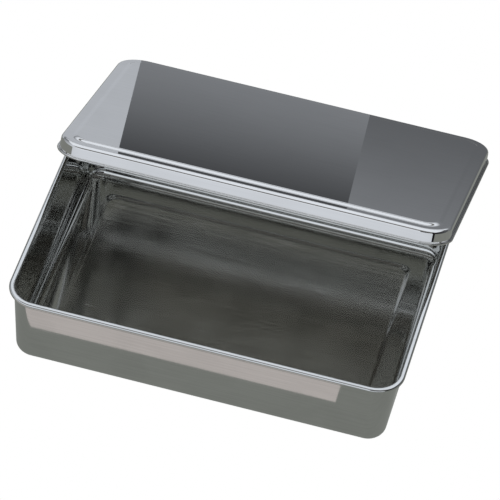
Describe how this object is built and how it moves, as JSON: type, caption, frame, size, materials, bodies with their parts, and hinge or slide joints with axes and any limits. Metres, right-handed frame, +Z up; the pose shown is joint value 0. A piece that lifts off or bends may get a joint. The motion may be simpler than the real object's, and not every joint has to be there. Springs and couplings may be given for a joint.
{
  "type": "instrument tray",
  "caption": "Deep rectangular stainless steel instrument tray with a rolled rim and a loose flat lid leaning back over its rear edge.",
  "frame": {"origin": "middle of the underside of the tray's sunk floor panel, on the surface that the tray stands on", "axes": "+X along the tray's length, +Y from its open front to the side where the lid leans, +Z up out of the tray"},
  "size_m": [0.307, 0.3468, 0.1031],
  "materials": {
    "satin_steel": "satin",
    "polished_steel": "polished"
  },
  "bodies": {
    "tray": {"tray": "satin_steel"},
    "lid": {"lid": "polished_steel"}
  },
  "joints": [
    {"name": "lid_lift", "type": "slide", "parent": "tray", "child": "lid", "axis": [0, 0, 1], "range_m": [0, 0.12]}
  ]
}
